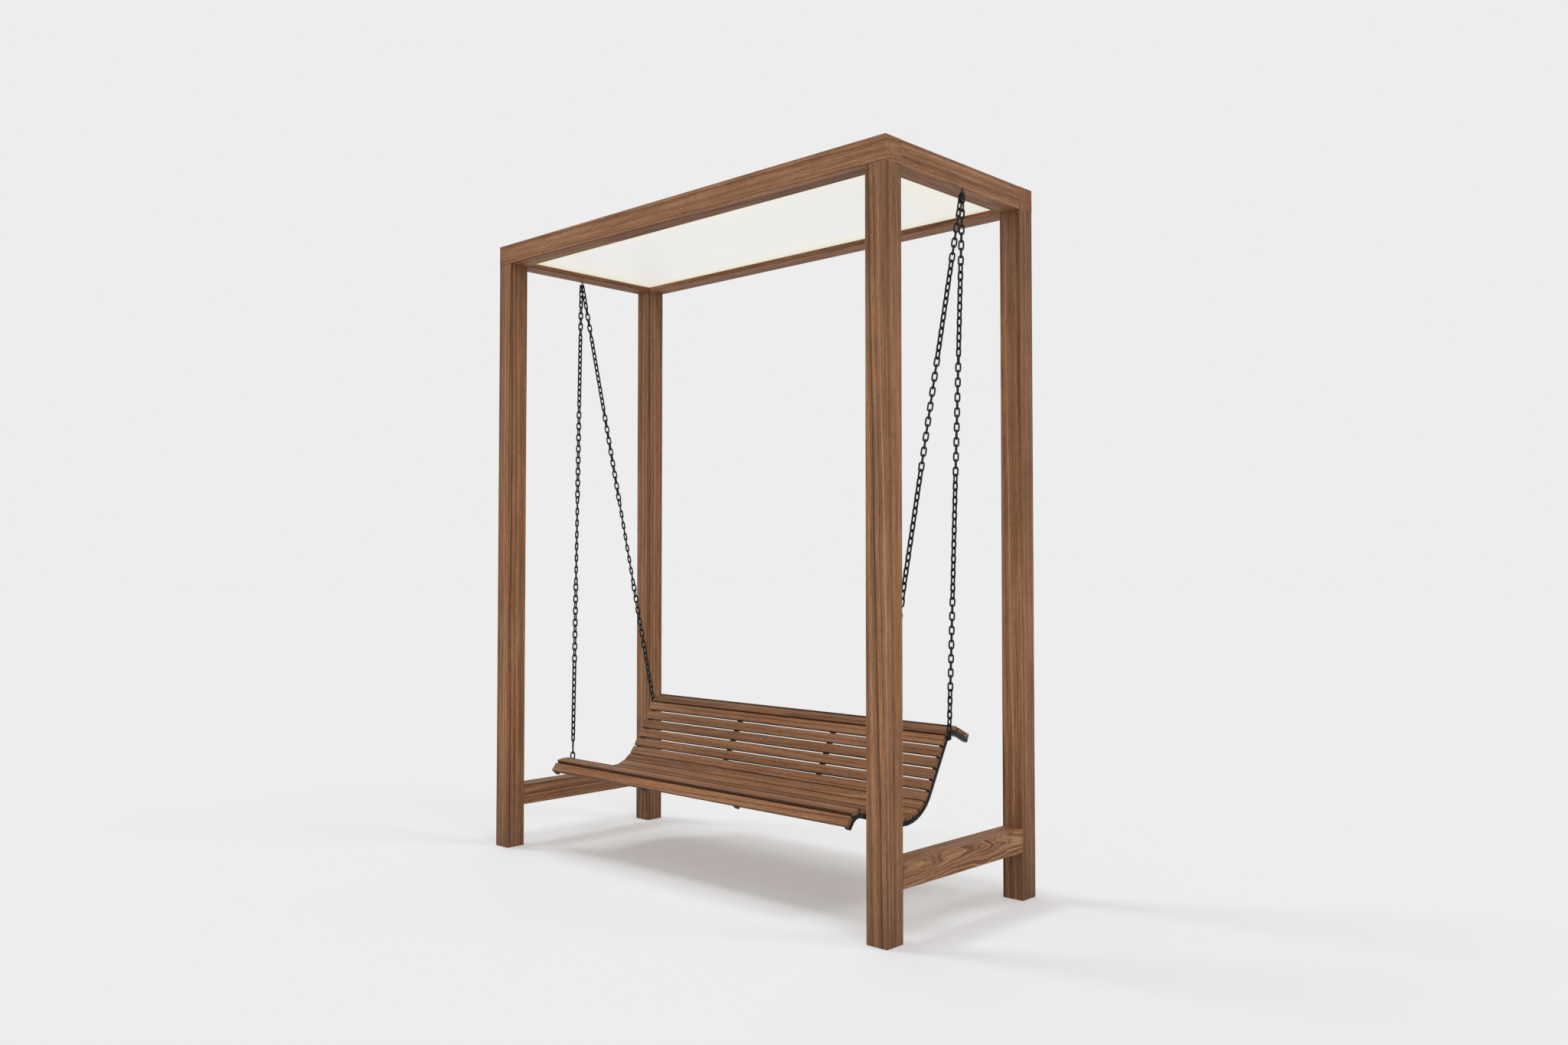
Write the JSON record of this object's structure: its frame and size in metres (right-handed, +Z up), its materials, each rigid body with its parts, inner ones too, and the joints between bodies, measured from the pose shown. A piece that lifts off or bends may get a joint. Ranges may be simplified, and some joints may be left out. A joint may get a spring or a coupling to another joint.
{
  "type": "arbor swing",
  "caption": "Hanging bench with a curved slatted seat and back, carried by chains inside a square-timber frame under a flat roof panel.",
  "frame": {"origin": "on the ground, at the middle of the frame's footprint", "axes": "+X along the bench, to the right when seen from the front; +Y to the back; +Z up"},
  "size_m": [2.48, 1.005, 3],
  "materials": {
    "timber": "oiled brown hardwood, planed, straight grain along each piece",
    "slat_wood": "oiled brown hardwood slats with eased edges",
    "black_steel": "satin black coated steel",
    "frosted_sheet": "off-white translucent sheet"
  },
  "bodies": {
    "frame": {"post_front_left": "timber", "post_front_right": "timber", "post_rear_left": "timber", "post_rear_right": "timber", "beam_front": "timber", "beam_rear": "timber", "beam_left": "timber", "beam_right": "timber", "stretcher_left": "timber", "stretcher_right": "timber", "roof_panel": "frosted_sheet", "hook_left": "black_steel", "hook_right": "black_steel"},
    "swing": {"rib_left_end": "black_steel", "rib_left_middle": "black_steel", "rib_right_middle": "black_steel", "rib_right_end": "black_steel", "toe_slat": "slat_wood", "roll_slat": "slat_wood", "seat_slat_1": "slat_wood", "seat_slat_2": "slat_wood", "seat_slat_3": "slat_wood", "seat_slat_4": "slat_wood", "seat_slat_5": "slat_wood", "seat_slat_6": "slat_wood", "seat_slat_7": "slat_wood", "seat_slat_8": "slat_wood", "back_slat_1": "slat_wood", "back_slat_2": "slat_wood", "back_slat_3": "slat_wood", "back_slat_4": "slat_wood", "back_slat_5": "slat_wood", "back_slat_6": "slat_wood", "back_slat_7": "slat_wood", "top_slat": "slat_wood", "crest_slat": "slat_wood", "tail_slat_1": "slat_wood", "tail_slat_2": "slat_wood", "chain_front_left": "black_steel", "chain_front_right": "black_steel", "chain_rear_left": "black_steel", "chain_rear_right": "black_steel", "chain_pin_front_left": "black_steel", "chain_pin_front_right": "black_steel", "chain_pin_rear_left": "black_steel", "chain_pin_rear_right": "black_steel", "chain_nut_front_left": "black_steel", "chain_nut_front_right": "black_steel", "chain_nut_rear_left": "black_steel", "chain_nut_rear_right": "black_steel"}
  },
  "joints": [
    {"name": "swing_hinge", "type": "hinge", "parent": "frame", "child": "swing", "pos_m": [0, 0.005, 2.886], "axis": [1, 0, 0], "range_deg": [-20, 20]}
  ]
}
